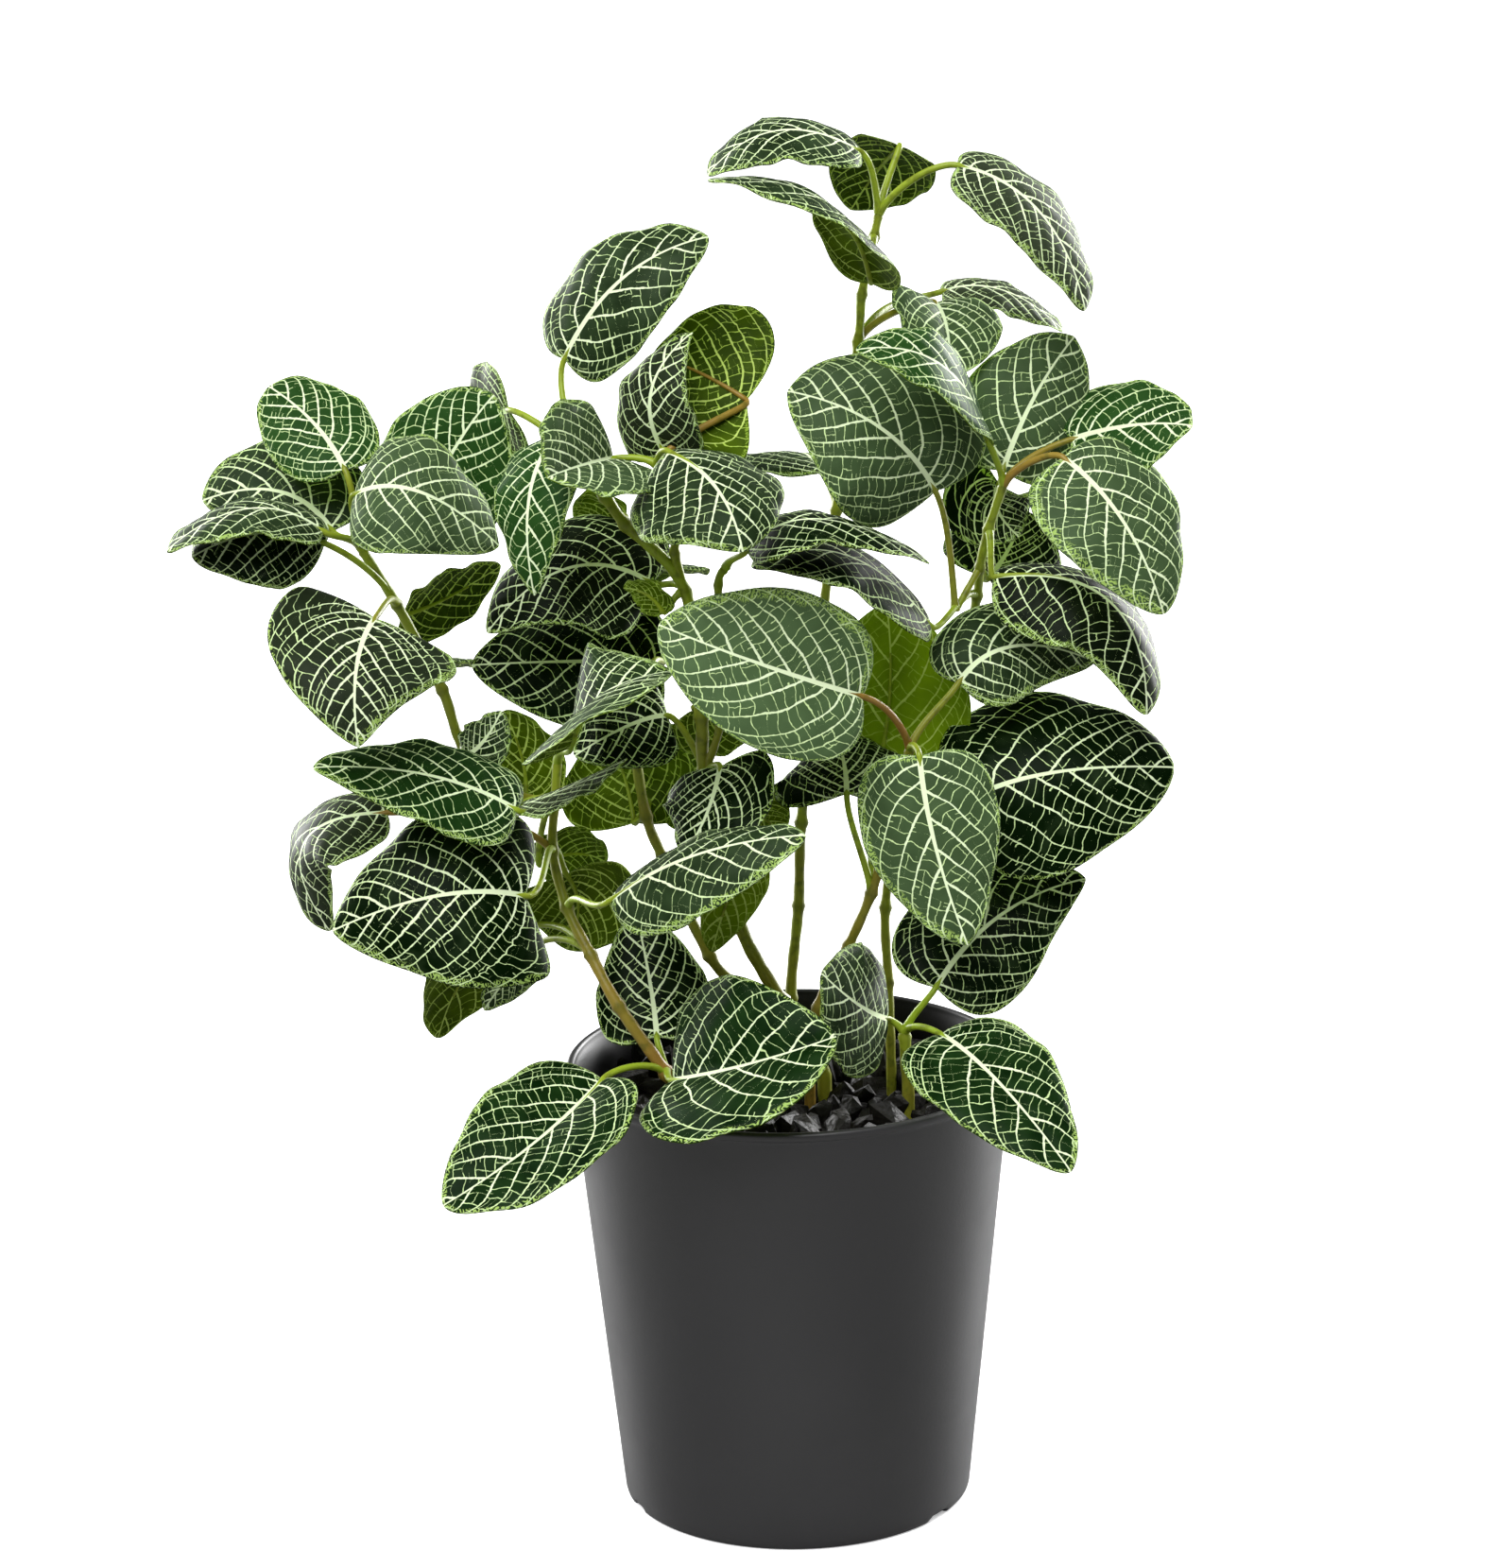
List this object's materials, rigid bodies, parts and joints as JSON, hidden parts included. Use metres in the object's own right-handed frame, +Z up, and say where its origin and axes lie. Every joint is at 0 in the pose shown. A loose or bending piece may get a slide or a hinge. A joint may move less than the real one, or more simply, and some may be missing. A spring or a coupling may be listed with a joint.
{
  "type": "potted nerve plant",
  "caption": "Potted nerve plant: leafy branching stems with pale-veined oval leaves, in a tapered black pot topped with crushed dark stone.",
  "frame": {"origin": "on the pot's axis, at the flat underside it stands on", "axes": "+Z up, +Y away from the front, +X to the right seen from the front"},
  "size_m": [0.2624, 0.1566, 0.3725],
  "materials": {
    "pot": "satin black moulded plastic",
    "potting_mix": "dark, crumbly",
    "top_stones": "rough crushed dark stone",
    "foliage": "dark green blades with pale veins",
    "shoot": "bright green blades and stalks"
  },
  "bodies": {
    "root": {"pot": "pot", "potting_mix": "potting_mix", "top_stones": "top_stones", "tall_stem": "foliage", "centre_stem": "foliage", "back_stem": "foliage", "left_stem": "foliage", "right_stem": "foliage", "far_right_stem": "foliage", "low_shoot": "shoot"}
  },
  "joints": []
}
